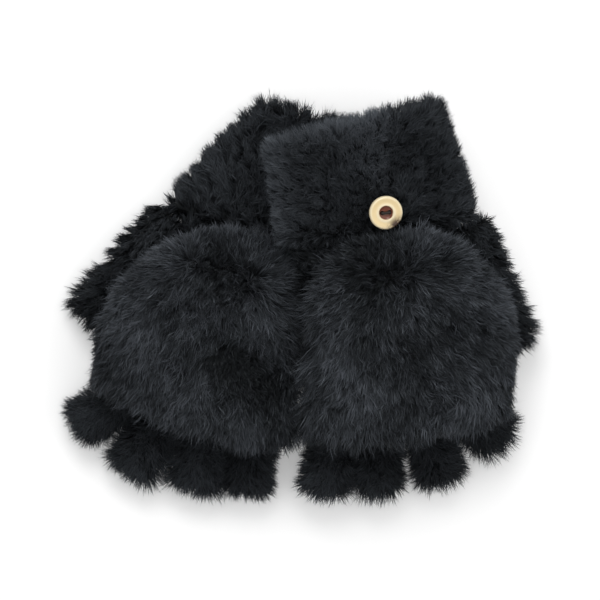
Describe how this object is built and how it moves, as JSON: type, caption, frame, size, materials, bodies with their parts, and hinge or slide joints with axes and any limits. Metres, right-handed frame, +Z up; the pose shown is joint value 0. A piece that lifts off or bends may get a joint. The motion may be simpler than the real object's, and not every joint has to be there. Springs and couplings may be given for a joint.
{
  "type": "convertible flip-top mittens",
  "caption": "Pair of long-pile fabric fingerless gloves; each has a hood hinged at the knuckles, folded back and held to a cuff button by an elastic loop.",
  "frame": {"origin": "bottom centre of the bounding box of the pair as it lies", "axes": "+X towards the right mitten, +Y towards the cuffs, +Z up; both mittens lie palm down with their fingers towards -Y"},
  "size_m": [0.2306, 0.1928, 0.0577],
  "materials": {
    "pile": "short dense faux-fur pile, matte",
    "hood_pile": "long soft faux-fur pile with a low sheen",
    "fleece": "brushed fleece lining, matte",
    "elastic": "braided elastic cord and corded seam",
    "horn": "polished cream horn-effect resin with brown clouding",
    "thread": "waxed sewing thread"
  },
  "bodies": {
    "left_mitten": {"left_hand_back": "pile", "left_hand_palm": "pile", "left_hand_lining": "fleece", "left_cuff": "pile", "left_thumb": "pile", "left_index_finger": "pile", "left_middle_finger": "pile", "left_ring_finger": "pile", "left_little_finger": "pile", "left_knuckle_seam": "elastic", "left_button": "horn", "left_button_thread": "thread"},
    "left_hood": {"left_hood_back": "hood_pile", "left_hood_palm": "hood_pile", "left_hood_lining": "fleece"},
    "left_loop": {"left_loop": "elastic"},
    "right_mitten": {"right_hand_back": "pile", "right_hand_palm": "pile", "right_hand_lining": "fleece", "right_cuff": "pile", "right_thumb": "pile", "right_index_finger": "pile", "right_middle_finger": "pile", "right_ring_finger": "pile", "right_little_finger": "pile", "right_knuckle_seam": "elastic", "right_button": "horn", "right_button_thread": "thread"},
    "right_hood": {"right_hood_back": "hood_pile", "right_hood_palm": "hood_pile", "right_hood_lining": "fleece"},
    "right_loop": {"right_loop": "elastic"}
  },
  "joints": [
    {"name": "right_mitten_lift", "type": "slide", "parent": "left_mitten", "child": "right_mitten", "axis": [0, 0, 1], "range_m": [0, 0.12]},
    {"name": "left_hood_flip", "type": "hinge", "parent": "left_mitten", "child": "left_hood", "pos_m": [-0.05274, -0.05298, 0.02346], "axis": [0.9563, -0.2924, 0], "range_deg": [0, 180], "deforming": ["left_hood_palm", "left_hood_lining"]},
    {"name": "left_loop_release", "type": "hinge", "parent": "left_hood", "child": "left_loop", "pos_m": [-0.02039, 0.03229, 0.02481], "axis": [0.9563, -0.2924, 0], "range_deg": [0, 90], "deforming": ["left_loop"]},
    {"name": "right_hood_flip", "type": "hinge", "parent": "right_mitten", "child": "right_hood", "pos_m": [0.05267, -0.05566, 0.03007], "axis": [0.987, 0.1238, -0.1026], "range_deg": [0, 180], "deforming": ["right_hood_palm", "right_hood_lining"]},
    {"name": "right_loop_release", "type": "hinge", "parent": "right_hood", "child": "right_loop", "pos_m": [0.0435, 0.03294, 0.04875], "axis": [0.987, 0.1238, -0.1026], "range_deg": [0, 90], "deforming": ["right_loop"]}
  ]
}
